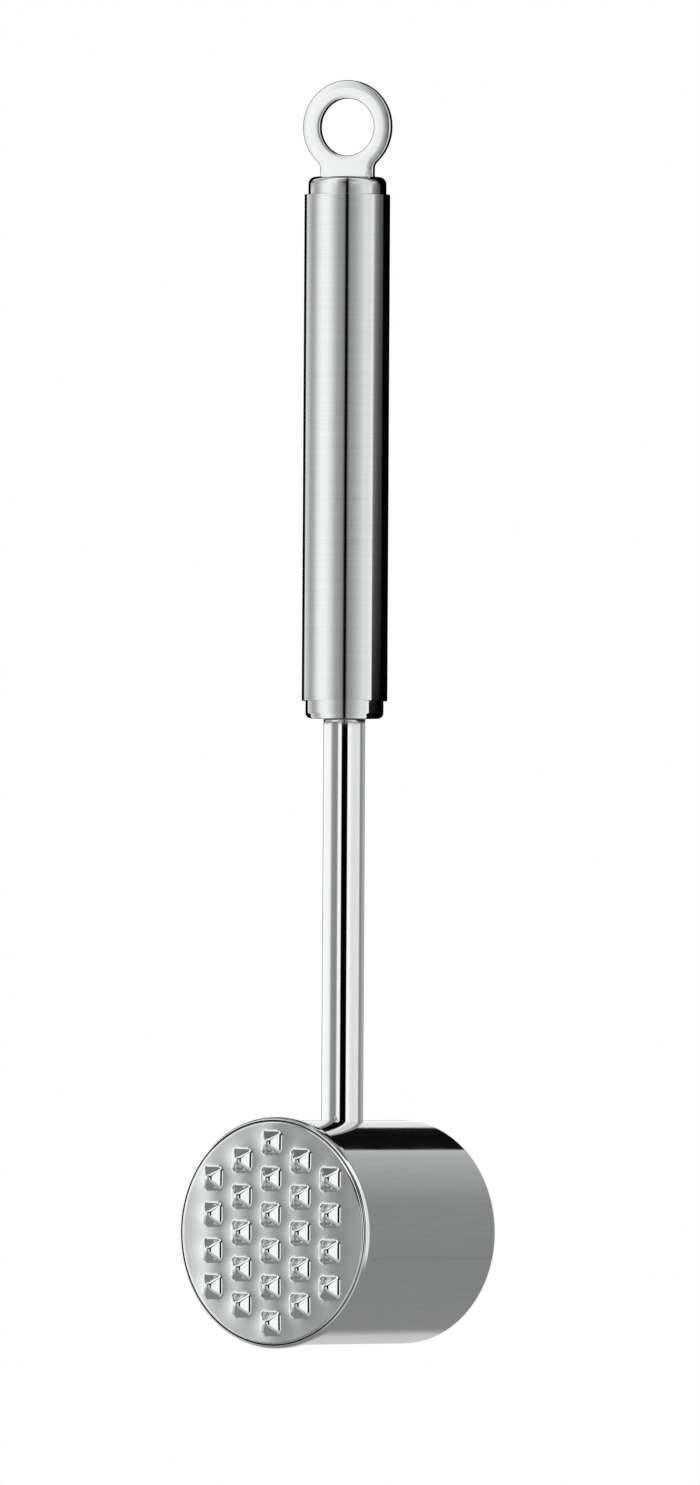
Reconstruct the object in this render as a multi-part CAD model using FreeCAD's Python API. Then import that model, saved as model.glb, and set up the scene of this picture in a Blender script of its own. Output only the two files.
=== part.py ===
"""Meat mallet: a tubular handle with a hanging eye, a slim shaft and a two-faced drum head.

Millimetres. The origin is the centre of the hanging hole, +Z runs up the handle, the studded
face looks towards -Y and the smooth face towards +Y. Nothing on the real mallet moves, so every
piece is pressed, pinned, screwed or welded to its neighbour.
"""
import FreeCAD
import Part
import math
import os

V = FreeCAD.Vector
X_AXIS = V(1, 0, 0)
Y_AXIS = V(0, 1, 0)
Z_AXIS = V(0, 0, 1)

# Hanging eye, a stamped plate
eye_d = 19.7
eye_hole_d = 12.0
eye_thickness = 2.0
eye_edge_radius = 0.4
eye_neck_width = 11.9
eye_neck_blend = 2.0
eye_neck_end = 10.5
eye_twist = 15.0
tang_width = 7.6
tang_tail = 3.0
eye_pin_d = 2.5
eye_pin_end_gap = 1.2

# Handle
handle_d = 18.0
handle_wall = 0.8
handle_length = 106.4
handle_end_radius = 0.15
cap_depth = 10.0
cap_proud = 3.7
cap_wall = 1.0
top_cap_corner = 1.5
bottom_cap_corner = 1.2

# Shaft and what holds it in the handle
shaft_d = 8.8
shaft_visible = 84.35
shaft_in_handle = 46.0
shaft_in_head = 33.0
shaft_thread_d = 6.0
shaft_thread_length = 9.0
bush_length = 8.0
washer_d = 12.0
washer_thickness = 1.2
nut_across_flats = 10.0
nut_height = 5.0
weld_leg = 0.6

# Head
head_d = 47.0
sleeve_length = 46.8
head_wall = 1.5
head_edge_radius = 1.2
rim_height = 0.75
rim_width = 2.2
rim_round = 0.65
rim_setback = 0.8
smooth_plate_thickness = 3.0
studded_plate_thickness = 2.2
studded_plate_edge = 0.55
studded_plate_spigot = 1.6
lock_pin_d = 4.0
lock_pin_end_gap = 1.0

# Studs of the tenderising face
stud_base = 4.9
stud_height = 2.0
stud_tip = 1.2
stud_margin = 0.65
stud_columns = (4, 5, 6, 5, 4)

# Gap all round where a piece slips in; pressed pieces share one diameter with their bore
slip_gap = 0.03
slot_gap = 0.05

# Levels along the handle and the head's axis, worked out from the sizes above
cap_top_z = -eye_neck_end
handle_top_z = cap_top_z - cap_proud
handle_bottom_z = handle_top_z - handle_length
cap_bottom_z = handle_bottom_z - cap_proud
head_z = cap_bottom_z - shaft_visible - head_d / 2
shaft_top_z = handle_bottom_z + shaft_in_handle
shaft_bottom_z = head_z + head_d / 2 - shaft_in_head
sleeve_front_y = -sleeve_length / 2
back_y = sleeve_length / 2
front_y = sleeve_front_y - studded_plate_thickness
handle_bore_d = handle_d - 2 * handle_wall
cap_bore_d = handle_bore_d - 2 * cap_wall
head_bore_d = head_d - 2 * head_wall
core_front_y = sleeve_front_y + studded_plate_spigot
core_back_y = back_y - smooth_plate_thickness

# The outermost studs stand 2.5 pitches from the middle, and their far corners reach 0.7 of a
# base side further, so the pitch is the largest that keeps them on the flat of the plate
stud_pitch = (head_d / 2 - studded_plate_edge - stud_margin - 0.7 * stud_base) / 2.5


def cylinder(diameter, length, start, axis=Z_AXIS):
    """Return a solid cylinder from its start point along its axis."""
    return Part.makeCylinder(diameter / 2, length, start, axis)


def round_edges(shape, radius, wanted):
    """Round each edge of a shape for which the test says yes."""
    edges = [edge for edge in shape.Edges if wanted(edge)]
    return shape.makeFillet(radius, edges)


def is_circle(edge, radius, level=None, axis=Z_AXIS):
    """Tell whether an edge is a full circle of this radius at this level along an axis."""
    curve = edge.Curve
    if not isinstance(curve, Part.Circle) or abs(curve.Radius - radius) > 1e-4:
        return False
    return level is None or abs(curve.Center.dot(axis) - level) < 1e-4


def turned_with_eye(shape):
    """Turn a shape about the handle by the angle between the eye and the head."""
    shape.rotate(V(0, 0, 0), Z_AXIS, eye_twist)
    return shape


def eye_outline(radius, half_neck, blend, neck_z):
    """Return the flat face of the eye: a disc run into a straight neck by two round blends."""
    blend_x = half_neck + blend
    blend_z = -math.sqrt((radius + blend) ** 2 - blend_x ** 2)
    share = radius / (radius + blend)
    blend_angle = math.atan2(blend_z, blend_x)

    def on_circle(side):
        return V(side * share * blend_x, 0, share * blend_z)

    def blend_middle(side):
        angle = (blend_angle + math.pi + math.pi) / 2
        return V(side * (blend_x + blend * math.cos(angle)), 0, blend_z + blend * math.sin(angle))

    edges = [
        Part.Arc(on_circle(-1), V(0, 0, radius), on_circle(1)).toShape(),
        Part.Arc(on_circle(1), blend_middle(1), V(half_neck, 0, blend_z)).toShape(),
        Part.makeLine(V(half_neck, 0, blend_z), V(half_neck, 0, neck_z)),
        Part.makeLine(V(half_neck, 0, neck_z), V(-half_neck, 0, neck_z)),
        Part.makeLine(V(-half_neck, 0, neck_z), V(-half_neck, 0, blend_z)),
        Part.Arc(V(-half_neck, 0, blend_z), blend_middle(-1), on_circle(-1)).toShape(),
    ]
    return Part.Face(Part.Wire(edges))


def eye_pin_z():
    """Return the height of the cross pin, which bears on the underside of the top cap."""
    return cap_top_z - cap_wall - eye_pin_d / 2


def make_hanging_eye():
    """The stamped eye: ring, neck with shoulders that sit on the cap, and a tang with a pin hole."""
    outline = eye_outline(eye_d / 2, eye_neck_width / 2, eye_neck_blend, cap_top_z)
    plate = outline.extrude(Y_AXIS * eye_thickness)
    plate.translate(V(0, -eye_thickness / 2, 0))
    plate = plate.cut(cylinder(eye_hole_d, 2 * eye_thickness, V(0, -eye_thickness, 0), Y_AXIS))

    def on_ring(edge):
        return isinstance(edge.Curve, Part.Circle) and edge.BoundBox.YLength < 1e-6

    plate = round_edges(plate, eye_edge_radius, on_ring)
    tang_length = cap_wall + eye_pin_d + tang_tail
    tang = Part.makeBox(tang_width, eye_thickness, tang_length)
    tang.translate(V(-tang_width / 2, -eye_thickness / 2, cap_top_z - tang_length))
    hole = cylinder(eye_pin_d, 2 * eye_thickness, V(0, -eye_thickness, eye_pin_z()), Y_AXIS)
    return turned_with_eye(plate.fuse(tang).removeSplitter().cut(hole))


def make_eye_cross_pin():
    """The pin through the tang, under the top cap."""
    length = cap_bore_d - 2 * eye_pin_end_gap
    return turned_with_eye(cylinder(eye_pin_d, length, V(0, -length / 2, eye_pin_z()), Y_AXIS))


def cap_cup(corner):
    """A drawn cup with its closed end at z = 0, that end's corner rounded, and its open end below."""
    outer = cylinder(handle_bore_d, cap_depth, V(0, 0, -cap_depth))
    outer = round_edges(outer, corner, lambda edge: is_circle(edge, handle_bore_d / 2, 0))
    return outer.cut(cylinder(cap_bore_d, cap_depth, V(0, 0, -cap_depth - cap_wall)))


def make_handle_top_cap():
    """The upper cup, pressed into the tube and slotted for the tang of the eye."""
    cup = cap_cup(top_cap_corner)
    cup.translate(V(0, 0, cap_top_z))
    slot = Part.makeBox(tang_width + 2 * slot_gap, eye_thickness + 2 * slot_gap, 3 * cap_wall)
    slot.translate(V(-tang_width / 2 - slot_gap, -eye_thickness / 2 - slot_gap, cap_top_z - 2 * cap_wall))
    return cup.cut(turned_with_eye(slot))


def make_handle_tube():
    """The round grip tube with both outer edges broken."""
    start = V(0, 0, handle_bottom_z)
    tube = cylinder(handle_d, handle_length, start)
    tube = round_edges(tube, handle_end_radius, lambda edge: is_circle(edge, handle_d / 2))
    return tube.cut(cylinder(handle_bore_d, handle_length, start))


def make_handle_bottom_cap():
    """The lower cup, pressed into the tube, with the hole that the shaft passes through."""
    cup = cap_cup(bottom_cap_corner)
    cup.rotate(V(0, 0, 0), X_AXIS, 180)
    cup.translate(V(0, 0, cap_bottom_z))
    return cup.cut(cylinder(shaft_d, 3 * cap_wall, V(0, 0, cap_bottom_z - cap_wall)))


def make_shaft():
    """The solid rod from the lock nut in the handle down into the core of the head."""
    rod = cylinder(shaft_d, shaft_top_z - shaft_bottom_z, V(0, 0, shaft_bottom_z))
    stud = cylinder(shaft_thread_d, bush_length + shaft_thread_length, V(0, 0, shaft_top_z))
    return rod.fuse(stud).cut(cylinder(lock_pin_d, shaft_d, V(-shaft_d / 2, 0, head_z), X_AXIS))


def make_shaft_weld_bead():
    """The small concave weld ring between the bottom cap and the shaft."""
    inner = shaft_d / 2
    bow = weld_leg * (1 - math.sqrt(0.5))
    wall_end = V(inner, 0, cap_bottom_z - weld_leg)
    cap_end = V(inner + weld_leg, 0, cap_bottom_z)
    middle = V(inner + bow, 0, cap_bottom_z - bow)
    edges = [
        Part.makeLine(V(inner, 0, cap_bottom_z), cap_end),
        Part.Arc(cap_end, middle, wall_end).toShape(),
        Part.makeLine(wall_end, V(inner, 0, cap_bottom_z)),
    ]
    return Part.Face(Part.Wire(edges)).revolve(V(0, 0, 0), Z_AXIS, 360)


def make_shaft_centring_bush():
    """The disc that centres the top of the shaft in the tube, seated on the shaft's shoulder."""
    disc = cylinder(handle_bore_d - 2 * slip_gap, bush_length, V(0, 0, shaft_top_z))
    return disc.cut(cylinder(shaft_thread_d + 2 * slip_gap, bush_length, V(0, 0, shaft_top_z)))


def make_shaft_washer():
    """The washer between the bush and the lock nut."""
    start = V(0, 0, shaft_top_z + bush_length)
    disc = cylinder(washer_d, washer_thickness, start)
    return disc.cut(cylinder(shaft_thread_d + 2 * slip_gap, washer_thickness, start))


def make_shaft_lock_nut():
    """The hexagon nut on the threaded end of the shaft."""
    base_z = shaft_top_z + bush_length + washer_thickness
    corner = nut_across_flats / math.sqrt(3)
    corners = []
    for index in range(6):
        angle = math.radians(60 * index)
        corners.append(V(corner * math.cos(angle), corner * math.sin(angle), base_z))
    prism = Part.Face(Part.makePolygon(corners + corners[:1])).extrude(Z_AXIS * nut_height)
    return prism.cut(cylinder(shaft_thread_d, nut_height, V(0, 0, base_z)))


def make_head_sleeve():
    """The drum's shell: a seamed tube with a hole for the shaft and a rounded back edge."""
    start = V(0, sleeve_front_y, head_z)
    shell = cylinder(head_d, sleeve_length, start, Y_AXIS)
    shell = round_edges(shell, head_edge_radius, lambda edge: is_circle(edge, head_d / 2, back_y, Y_AXIS))
    shell = shell.cut(cylinder(head_bore_d, sleeve_length, start, Y_AXIS))
    return shell.cut(cylinder(shaft_d + 2 * slip_gap, head_d, V(0, 0, head_z)))


def make_head_rim_ring():
    """The rounded band shrunk over the joint between the studded plate and the sleeve."""
    start = V(0, front_y + rim_setback, head_z)
    band = cylinder(head_d + 2 * rim_height, rim_width, start, Y_AXIS)
    radius = head_d / 2 + rim_height
    band = round_edges(band, rim_round, lambda edge: is_circle(edge, radius, None, Y_AXIS))
    return band.cut(cylinder(head_d, rim_width, start, Y_AXIS))


def make_stud():
    """One blunt four-sided pyramid, its base at y = 0 and its tip towards -Y."""
    base = square_wire(stud_base, 0)
    tip = square_wire(stud_tip, -stud_height)
    return Part.makeLoft([base, tip], True, True)


def square_wire(side, level):
    """Return a square outline across the Y axis."""
    half = side / 2
    corners = [V(-half, level, -half), V(half, level, -half), V(half, level, half), V(-half, level, half)]
    return Part.makePolygon(corners + corners[:1])


def stud_places():
    """Yield the (x, z) centre of each stud: columns of equal pitch, staggered by half a pitch."""
    middle = (len(stud_columns) - 1) / 2
    for column, count in enumerate(stud_columns):
        for row in range(count):
            yield (column - middle) * stud_pitch, (row - (count - 1) / 2) * stud_pitch


def make_studded_plate():
    """The tenderising face: a round-edged disc with four-sided studs and a spigot behind."""
    plate = cylinder(head_d, studded_plate_thickness, V(0, front_y, head_z), Y_AXIS)
    radius = head_d / 2
    plate = round_edges(plate, studded_plate_edge, lambda edge: is_circle(edge, radius, front_y, Y_AXIS))
    spigot = cylinder(head_bore_d, studded_plate_spigot, V(0, sleeve_front_y, head_z), Y_AXIS)
    stud = make_stud()
    studs = [spigot]
    for x, z in stud_places():
        studs.append(stud.translated(V(x, front_y, head_z + z)))
    return plate.fuse(studs).removeSplitter()


def make_smooth_plate():
    """The flattening face: a plain disc pressed flush into the back of the sleeve."""
    return cylinder(head_bore_d, smooth_plate_thickness, V(0, core_back_y, head_z), Y_AXIS)


def make_head_core():
    """The heavy slug that fills the drum, with a socket for the shaft and a cross hole."""
    core = cylinder(head_bore_d, core_back_y - core_front_y, V(0, core_front_y, head_z), Y_AXIS)
    core = core.cut(cylinder(shaft_d + 2 * slip_gap, head_d, V(0, 0, shaft_bottom_z)))
    return core.cut(cylinder(lock_pin_d, head_bore_d, V(-head_bore_d / 2, 0, head_z), X_AXIS))


def make_shaft_lock_pin():
    """The cross pin that holds the shaft in the core."""
    length = head_bore_d - 2 * lock_pin_end_gap
    return cylinder(lock_pin_d, length, V(-length / 2, 0, head_z), X_AXIS)


NODES = {
    "hanging_eye": make_hanging_eye,
    "eye_cross_pin": make_eye_cross_pin,
    "handle_top_cap": make_handle_top_cap,
    "handle_tube": make_handle_tube,
    "handle_bottom_cap": make_handle_bottom_cap,
    "shaft": make_shaft,
    "shaft_weld_bead": make_shaft_weld_bead,
    "shaft_centring_bush": make_shaft_centring_bush,
    "shaft_washer": make_shaft_washer,
    "shaft_lock_nut": make_shaft_lock_nut,
    "head_sleeve": make_head_sleeve,
    "head_rim_ring": make_head_rim_ring,
    "studded_plate": make_studded_plate,
    "smooth_plate": make_smooth_plate,
    "head_core": make_head_core,
    "shaft_lock_pin": make_shaft_lock_pin,
}

os.makedirs("parts", exist_ok=True)
for name, make in NODES.items():
    shape = make()
    shape.exportStep("parts/" + name + ".step")
    print(name, len(shape.Solids), round(shape.Volume, 1), shape.isValid())
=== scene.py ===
"""Meat mallet: its finished surfaces, the studio it hangs in and the camera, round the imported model.

Sizes are millimetres, and a piece is scaled to metres once it is whole.
"""
import logging
import math
from dataclasses import dataclass
from enum import Enum
from typing import Iterator, Mapping, Sequence

import bmesh
import bpy
from bmesh.types import BMEdge, BMesh, BMFace, BMVert
from mathutils import Matrix, Vector


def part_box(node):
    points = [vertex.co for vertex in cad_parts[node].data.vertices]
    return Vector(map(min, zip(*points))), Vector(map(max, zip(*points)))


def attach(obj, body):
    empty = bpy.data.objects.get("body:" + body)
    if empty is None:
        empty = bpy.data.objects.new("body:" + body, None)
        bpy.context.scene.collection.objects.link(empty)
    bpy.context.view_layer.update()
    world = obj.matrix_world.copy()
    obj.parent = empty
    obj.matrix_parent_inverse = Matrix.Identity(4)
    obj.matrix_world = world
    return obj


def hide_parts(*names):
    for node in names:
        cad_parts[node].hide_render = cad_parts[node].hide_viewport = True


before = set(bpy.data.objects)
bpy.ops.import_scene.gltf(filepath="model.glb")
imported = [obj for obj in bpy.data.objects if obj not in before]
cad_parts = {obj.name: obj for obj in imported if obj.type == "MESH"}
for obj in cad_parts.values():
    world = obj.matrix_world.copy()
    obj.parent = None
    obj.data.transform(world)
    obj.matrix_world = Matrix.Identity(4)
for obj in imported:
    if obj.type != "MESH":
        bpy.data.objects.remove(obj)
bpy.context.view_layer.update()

Tree = bpy.types.NodeTree
Node = bpy.types.Node
Socket = bpy.types.NodeSocket
Setting = Socket | float | Sequence[float]
Colour = tuple[float, float, float, float]
Ring = tuple[float, float]
Glow = tuple[tuple[float, float], ...]

LOG = logging.getLogger("mallet")
METRE = 1000.0
BODY = "root"
CAMERA_TURN = 35.5
STEEL = (0.795, 0.81, 0.805)
DISPLAY_GAMMA = 2.2
BLACK: Colour = (0, 0, 0, 1)
WHITE: Colour = (1, 1, 1, 1)
ORIGIN = Vector((0, 0, 0))
MERGE = 1e-4
NEAR = 1e-3
CREASE_ANGLE = 38.0
# The noise that is the grain hardly leaves these values
GRAIN_LOW, GRAIN_HIGH = 0.3, 0.7
GRAIN_OCTAVES, RIPPLE_OCTAVES = 3.0, 1.0


class Slot(Enum):
    """The record's material slots."""

    SATIN = "satin_steel"
    POLISHED = "polished_steel"
    PLAIN = "plain_steel"


class Axis(Enum):
    """The two directions that pieces are turned about."""

    UP = (0.0, 0.0, 1.0)
    OUT = (0.0, 1.0, 0.0)


@dataclass(frozen=True)
class NodeBox:
    """The box of a CAD node, in millimetres."""

    low: Vector
    high: Vector

    @classmethod
    def of(cls, node: str) -> "NodeBox":
        """Read the box of a CAD node by its name."""
        low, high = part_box(node)
        return cls(low * METRE, high * METRE)

    @property
    def size(self) -> Vector:
        """The three side lengths."""
        return self.high - self.low

    @property
    def middle(self) -> Vector:
        """The centre of the box."""
        return (self.high + self.low) / 2


# ---------------------------------------------------------------- nodes


def add_node(tree: Tree, kind: str, inputs: Mapping[str | int, Setting], **settings: str) -> Node:
    """Add a node with its inputs wired or set.

    Args:
        tree: The nodes of a material or of the world.
        kind: The kind of node, without the words that every kind begins with.
        inputs: A socket or a value for each input that does not stay as it is.
        **settings: The settings of the node itself.

    Returns:
        The node.
    """
    node = tree.nodes.new("ShaderNode" + kind)
    for key, choice in settings.items():
        setattr(node, key, choice)
    for slot, value in inputs.items():
        if isinstance(value, Socket):
            tree.links.new(value, node.inputs[slot])
        else:
            node.inputs[slot].default_value = value
    return node


def add_math(tree: Tree, operation: str, *values: Socket | float) -> Socket:
    """Add a sum with sockets or numbers as its values, and return its result."""
    return add_node(tree, "Math", dict(enumerate(values)), operation=operation).outputs["Value"]


def add_mix(tree: Tree, share: Socket, under: Setting, over: Setting) -> Socket:
    """Lay one colour over another by a share, and return the result."""
    return add_node(tree, "MixRGB", {"Fac": share, "Color1": under, "Color2": over}).outputs["Color"]


def add_ramp(tree: Tree, share: Socket, stops: Sequence[tuple[float, Colour]]) -> Socket:
    """Add a ramp of colours.

    Args:
        tree: The nodes that it is added to.
        share: Where along the ramp the colour is taken.
        stops: The stops as (share, colour).

    Returns:
        The socket of the colour.
    """
    ramp = add_node(tree, "ValToRGB", {"Fac": share})
    elements = ramp.color_ramp.elements
    while len(elements) < len(stops):
        elements.new(1.0)
    for element, (position, colour) in zip(elements, stops):
        element.position = position
        element.color = colour
    return ramp.outputs["Color"]


def add_angle(tree: Tree, place: Socket, turn: float) -> Socket:
    """Add the nodes that give the angle of a place round the Z axis.

    Args:
        tree: The nodes that they are added to.
        place: The place or direction.
        turn: How far it is turned first, in degrees.

    Returns:
        The socket of the angle, as a share of a full turn.
    """
    turned = add_node(tree, "Mapping", {"Vector": place, "Rotation": (0, 0, math.radians(turn))})
    angle = add_node(tree, "TexGradient", {"Vector": turned.outputs["Vector"]}, gradient_type="RADIAL")
    return angle.outputs["Fac"]


# ---------------------------------------------------------------- finishes


@dataclass(frozen=True)
class SteelFinish:
    """One finish of stainless steel, made of a fine grain and a slow ripple.

    Attributes:
        name: The material's name.
        tint: The colour of the metal.
        shade_spread: How far the grain darkens the colour, as a share.
        roughness: The lowest and highest roughness.
        grain: How many grains to the metre along X, Y and Z.
        grain_depth: The height of the grain in metres.
        ripple: How many ripples to the metre.
        ripple_depth: The height of the ripples in metres.
    """

    name: str
    tint: tuple[float, float, float]
    shade_spread: float
    roughness: tuple[float, float]
    grain: tuple[float, float, float]
    grain_depth: float
    ripple: float
    ripple_depth: float

    def material(self) -> bpy.types.Material:
        """Return the finish as a material, made the first time it is asked for."""
        found = bpy.data.materials.get(self.name)
        if found:
            return found
        material = bpy.data.materials.new(self.name)
        material.use_nodes = True
        tree = material.node_tree
        shader = tree.nodes["Principled BSDF"]
        shader.inputs["Metallic"].default_value = 1.0
        grain = self._noise(tree, self.grain, GRAIN_OCTAVES)
        ripple = self._noise(tree, (self.ripple, self.ripple, self.ripple), RIPPLE_OCTAVES)
        coarse = add_node(tree, "Bump", {"Height": ripple, "Distance": self.ripple_depth, "Strength": 1.0})
        relief = {"Height": grain, "Distance": self.grain_depth, "Strength": 1.0}
        fine = add_node(tree, "Bump", {**relief, "Normal": coarse.outputs["Normal"]})
        tree.links.new(self._colour(tree, grain), shader.inputs["Base Color"])
        tree.links.new(self._roughness(tree, grain), shader.inputs["Roughness"])
        tree.links.new(fine.outputs["Normal"], shader.inputs["Normal"])
        return material

    def _noise(self, tree: Tree, scale: Sequence[float], detail: float) -> Socket:
        """Add a noise whose cells have the given count to the metre.

        Args:
            tree: The material's nodes.
            scale: Cells to the metre along X, Y and Z.
            detail: How many finer octaves are added.

        Returns:
            The socket of the noise.
        """
        place = add_node(tree, "TexCoord", {}).outputs["Object"]
        scaled = add_node(tree, "Mapping", {"Vector": place, "Scale": scale}).outputs["Vector"]
        return add_node(tree, "TexNoise", {"Vector": scaled, "Scale": 1.0, "Detail": detail}).outputs["Fac"]

    def _colour(self, tree: Tree, grain: Socket) -> Socket:
        """Return the metal's colour, which the grain darkens a little."""
        dark = [channel * (1 - self.shade_spread) for channel in self.tint]
        return add_ramp(tree, grain, [(GRAIN_LOW, (*dark, 1)), (GRAIN_HIGH, (*self.tint, 1))])

    def _roughness(self, tree: Tree, grain: Socket) -> Socket:
        """Return the roughness, which the grain varies between its two limits."""
        low, high = self.roughness
        limits = {"From Min": GRAIN_LOW, "From Max": GRAIN_HIGH, "To Min": low, "To Max": high}
        return add_node(tree, "MapRange", {"Value": grain, **limits}).outputs["Result"]


@dataclass(frozen=True)
class DrumFinish(SteelFinish):
    """The drum's polish, with the faint line of its lengthwise seam.

    Attributes:
        seam_turn: The angle of the seam below the drum's right side, in degrees.
        seam_width: The seam's width in degrees round the drum.
        seam_shade: How much darker the seam is.
    """

    seam_turn: float = 13.0
    seam_width: float = 0.7
    seam_shade: float = 0.1

    def _colour(self, tree: Tree, grain: Socket) -> Socket:
        """Return the metal's colour, darker by the grain and along the seam."""
        place = add_node(tree, "TexCoord", {}).outputs["Object"]
        level = (0, 0, NodeBox.of("head_sleeve").middle.z / METRE)
        laid = {"Vector": place, "Location": level, "Rotation": (math.radians(90), 0, 0)}
        upright = add_node(tree, "Mapping", laid, vector_type="TEXTURE").outputs["Vector"]
        half = self.seam_width / 360 / 2
        seam: Colour = (self.seam_shade, self.seam_shade, self.seam_shade, 1)
        stops = [(0.5 - half, BLACK), (0.5, seam), (0.5 + half, BLACK)]
        line = add_ramp(tree, add_angle(tree, upright, self.seam_turn), stops)
        return add_mix(tree, line, super()._colour(tree, grain), BLACK)


MIRROR = SteelFinish("mirror_polished_steel", STEEL, 0.02, (0.03, 0.06), (900, 900, 900), 2e-8, 180, 2e-7)
DRUM_POLISH = DrumFinish("drum_polish", STEEL, 0.05, (0.05, 0.09), (1400, 90, 1400), 6e-8, 120, 4e-7)
SATIN = SteelFinish("satin_grip_steel", STEEL, 0.05, (0.045, 0.075), (60, 60, 2600), 2.5e-7, 90, 2e-7)
PRESSED = SteelFinish("pressed_stud_polish", STEEL, 0.04, (0.05, 0.10), (1200, 1200, 1200), 1e-7, 420, 6e-6)
# Near-black rough steel for the ring laid in the rim's groove: it paints the shade that falls in the groove
GROOVE_SHADE_FINISH = SteelFinish(
    "painted_groove_shade", (0.02, 0.022, 0.021), 0.3, (0.45, 0.6), (3000, 3000, 3000), 5e-6, 600, 5e-6
)
WELD = SteelFinish(
    "dressed_weld_steel", (0.16, 0.165, 0.165), 0.2, (0.25, 0.35), (1500, 1500, 1500), 1e-6, 500, 2e-6
)
TURNED = SteelFinish(
    "turned_plain_steel", (0.55, 0.56, 0.57), 0.12, (0.28, 0.40), (900, 60, 3000), 2e-6, 80, 1e-6
)


# ---------------------------------------------------------------- modelling


def mesh_from(bm: BMesh, name: str, material: bpy.types.Material) -> bpy.types.Mesh:
    """Turn the shape that is being edited, which is freed, into a mesh of one material."""
    mesh = bpy.data.meshes.new(name)
    bm.to_mesh(mesh)
    bm.free()
    mesh.materials.append(material)
    return mesh


def placed(name: str, data: bpy.types.ID) -> bpy.types.Object:
    """Put a mesh, a light or a camera into the scene."""
    thing = bpy.data.objects.new(name, data)
    bpy.context.scene.collection.objects.link(thing)
    return thing


def draw_line(bm: BMesh, places: Sequence[Sequence[float]]) -> list[BMVert]:
    """Draw a line from place to place and return its points."""
    points = [bm.verts.new(place) for place in places]
    for start, end in zip(points, points[1:]):
        bm.edges.new((start, end))
    return points


def turn_round(bm: BMesh, centre: Vector, along: Vector, steps: int) -> None:
    """Turn all that is drawn once round an axis."""
    bmesh.ops.spin(
        bm, geom=bm.verts[:] + bm.edges[:], cent=centre, axis=along, angle=math.tau,
        steps=steps, use_merge=True, use_duplicate=False,
    )


def square(bm: BMesh, half: float, matrix: Matrix) -> list[BMVert]:
    """Draw a square face by half its side, lay it with a matrix and return its points."""
    return bmesh.ops.create_grid(bm, x_segments=1, y_segments=1, size=half, matrix=matrix)["verts"]


def points_of(geom: Sequence[BMVert | BMEdge | BMFace]) -> list[BMVert]:
    """Return the points among the parts of a mesh."""
    return [item for item in geom if isinstance(item, BMVert)]


def round_off(
    bm: BMesh, geom: Sequence[BMVert | BMEdge], radius: float, steps: int, affect: str
) -> list[BMVert]:
    """Round edges, or the corners of a flat face, and return the points that this makes.

    Args:
        bm: The mesh.
        geom: The edges or the corner points.
        radius: The radius of the rounding.
        steps: How many edges make it up.
        affect: EDGES or VERTICES.

    Returns:
        The points.
    """
    made = bmesh.ops.bevel(
        bm, geom=geom, offset=radius, offset_type="OFFSET", segments=steps, profile=0.5,
        affect=affect, clamp_overlap=True, material=-1,
    )
    return made["verts"]


def finish_piece(bm: BMesh, name: str, nodes: Sequence[str], finish: SteelFinish) -> None:
    """Turn a mesh in millimetres into a dressed piece that rides on the mallet.

    Args:
        bm: The mesh, which is freed.
        name: The piece's name.
        nodes: The CAD nodes that it stands for.
        finish: The finish that it is given.
    """
    bmesh.ops.remove_doubles(bm, verts=bm.verts[:], dist=MERGE)
    bmesh.ops.recalc_face_normals(bm, faces=bm.faces[:])
    bmesh.ops.scale(bm, vec=(1 / METRE,) * 3, verts=bm.verts[:])
    mesh = mesh_from(bm, name, finish.material())
    mesh.shade_smooth()
    mesh.set_sharp_from_angle(angle=math.radians(CREASE_ANGLE))
    piece = placed(name, mesh)
    weights = piece.modifiers.new("true_flats", "WEIGHTED_NORMAL")
    weights.keep_sharp = True
    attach(piece, BODY)
    if nodes:
        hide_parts(*nodes)
    # A piece that stands for no CAD node is the near-black ring of painted shade in the rim's groove
    LOG.info("%s: %d faces, stands for %s", name, len(mesh.polygons), ", ".join(nodes) or "the painted groove shade")


@dataclass(frozen=True)
class Lathe:
    """A lathe that turns closed outlines about an axis.

    Attributes:
        centre: A point on the axis, in millimetres.
        axis: The direction of the axis.
        steps: How many flats make a full turn.
        round_steps: How many flats make a rounded corner.
    """

    centre: Vector
    axis: Axis
    steps: int
    round_steps: int = 6

    def turn(self, outline: Sequence[Ring], rounds: Sequence[tuple[Ring, float]] = ()) -> BMesh:
        """Turn a closed outline and round some of its corners.

        Args:
            outline: The corners as (radius, level along the axis).
            rounds: Corners with the radius that each is rounded to.

        Returns:
            The closed mesh.
        """
        along = Vector(self.axis.value)
        bm = bmesh.new()
        places = [self.centre + Vector((radius, 0, 0)) + along * level for radius, level in outline]
        corners = draw_line(bm, places)
        if outline[0][0] > 0 and outline[-1][0] > 0:
            bm.edges.new((corners[-1], corners[0]))
        turn_round(bm, self.centre, along, self.steps)
        bmesh.ops.remove_doubles(bm, verts=bm.verts[:], dist=MERGE)
        bmesh.ops.recalc_face_normals(bm, faces=bm.faces[:])
        for ring, radius in rounds:
            self._round(bm, ring, radius)
        return bm

    def _round(self, bm: BMesh, ring: Ring, radius: float) -> None:
        """Round the circular edge that a corner of the outline, a (radius, level), has become."""
        edges = [edge for edge in bm.edges if all(self._is_on(vert.co, ring) for vert in edge.verts)]
        round_off(bm, edges, radius, self.round_steps, "EDGES")

    def _is_on(self, place: Vector, ring: Ring) -> bool:
        """Tell whether a point lies on a ring about the axis."""
        along = Vector(self.axis.value)
        away = place - self.centre
        level = away.dot(along)
        return abs(level - ring[1]) < NEAR and abs((away - along * level).length - ring[0]) < NEAR


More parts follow.
